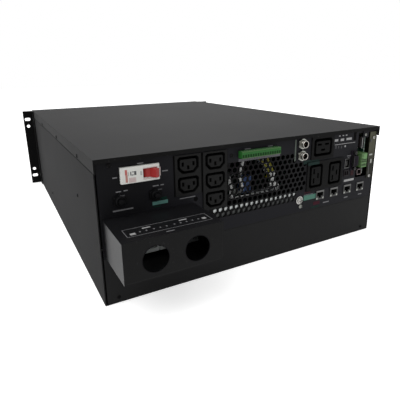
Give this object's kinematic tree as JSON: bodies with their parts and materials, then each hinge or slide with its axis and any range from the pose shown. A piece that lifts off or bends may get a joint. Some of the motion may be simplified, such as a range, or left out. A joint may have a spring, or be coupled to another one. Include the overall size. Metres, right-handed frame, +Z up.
{
  "type": "uninterruptible power supply",
  "caption": "Rack-mount online uninterruptible power supply, seen from its socketed and vented rear panel.",
  "frame": {"origin": "centre of the chassis base's underside", "axes": "+X right as seen from behind, +Y from the rear panel to the front bezel, +Z up"},
  "size_m": [0.4826, 0.6869, 0.172],
  "materials": {
    "casing_paint": "satin black paint",
    "panel_paint": "matt black paint",
    "plated_steel": "zinc plated",
    "bracket_steel": "dull passivated",
    "nickel": "nickel plated",
    "black_moulding": "moulded black",
    "white_moulding": "moulded off-white",
    "grey_moulding": "moulded light grey",
    "toggle_red": "moulded red",
    "button_black": "moulded dark",
    "terminal_green": "moulded green",
    "serial_blue": "moulded blue",
    "socket_grey": "moulded grey",
    "block_red": "moulded red",
    "header_white": "moulded off-white",
    "relay_blue": "moulded dark blue",
    "capacitor_blue": "boxed blue",
    "circuit_board": "solder mask",
    "aluminium": "extruded",
    "ferrite": "cores and varnished coils",
    "can_sleeve": "sleeved cans",
    "battery_case": "moulded case",
    "fan_plastic": "moulded black",
    "bezel_plastic": "fine texture",
    "display_glass": "smoked",
    "key_plastic": "moulded grey"
  },
  "bodies": {
    "casing": {"chassis_tray": "casing_paint", "top_cover": "casing_paint", "rear_panel_upper": "panel_paint", "vent_grille": "panel_paint", "jack_plate": "panel_paint", "rear_panel_lower": "panel_paint", "mid_shelf": "plated_steel", "rack_ears": "panel_paint", "breaker_body": "white_moulding", "reset_breaker_cases": "black_moulding", "panel_fittings": "nickel", "terminal_cover_box": "panel_paint", "terminal_blocks": "grey_moulding", "terminal_clamps": "nickel", "outlet_strip_two": "black_moulding", "outlet_strip_three": "black_moulding", "large_outlet_single": "black_moulding", "large_outlet_pair": "black_moulding", "signal_terminal_header": "terminal_green", "signal_terminal_plug": "terminal_green", "network_jacks": "nickel", "network_jack_inserts": "black_moulding", "usb_socket": "nickel", "serial_socket": "serial_blue", "stop_socket": "socket_grey", "termination_block": "block_red", "communications_board": "circuit_board", "card_bracket": "bracket_steel", "card_board": "circuit_board", "card_terminal": "terminal_green", "card_headers": "header_white", "card_relay": "relay_blue", "power_board": "circuit_board", "heatsinks": "aluminium", "inductors": "ferrite", "bus_capacitors": "can_sleeve", "film_capacitor": "capacitor_blue", "control_board": "circuit_board", "fan_frames": "fan_plastic", "battery_trays": "plated_steel", "battery_blocks": "battery_case", "front_subpanel": "panel_paint", "front_bezel": "bezel_plastic", "display_window": "display_glass"},
    "toggle": {"breaker_toggle": "toggle_red"},
    "reset_left": {"reset_button_left": "button_black"},
    "reset_right": {"reset_button_right": "button_black"},
    "power_button": {"power_key": "key_plastic"},
    "menu_left": {"menu_key_1": "key_plastic"},
    "menu_right": {"menu_key_2": "key_plastic"},
    "rotor_left": {"fan_rotor_1": "fan_plastic"},
    "rotor_right": {"fan_rotor_2": "fan_plastic"}
  },
  "joints": [
    {"name": "toggle_swing", "type": "hinge", "parent": "casing", "child": "toggle", "pos_m": [-0.159, -0.29, 0.1508], "axis": [0, 0, -1], "range_deg": [0, 48]},
    {"name": "reset_left_press", "type": "slide", "parent": "casing", "child": "reset_left", "axis": [0, 1, 0], "range_m": [0, 0.003], "stiffness_N_per_m": 400, "springref_m": -0.001},
    {"name": "reset_right_press", "type": "slide", "parent": "casing", "child": "reset_right", "axis": [0, 1, 0], "range_m": [0, 0.003], "stiffness_N_per_m": 400, "springref_m": -0.001},
    {"name": "power_press", "type": "slide", "parent": "casing", "child": "power_button", "axis": [0, -1, 0], "range_m": [0, 0.002], "stiffness_N_per_m": 300, "springref_m": -0.001},
    {"name": "menu_left_press", "type": "slide", "parent": "casing", "child": "menu_left", "axis": [0, -1, 0], "range_m": [0, 0.002], "stiffness_N_per_m": 300, "springref_m": -0.001},
    {"name": "menu_right_press", "type": "slide", "parent": "casing", "child": "menu_right", "axis": [0, -1, 0], "range_m": [0, 0.002], "stiffness_N_per_m": 300, "springref_m": -0.001},
    {"name": "rotor_left_spin", "type": "hinge", "parent": "casing", "child": "rotor_left", "pos_m": [-0.095, 0.28, 0.1164], "axis": [0, 1, 0], "continuous": true},
    {"name": "rotor_right_spin", "type": "hinge", "parent": "casing", "child": "rotor_right", "pos_m": [0.095, 0.28, 0.1164], "axis": [0, 1, 0], "continuous": true}
  ]
}
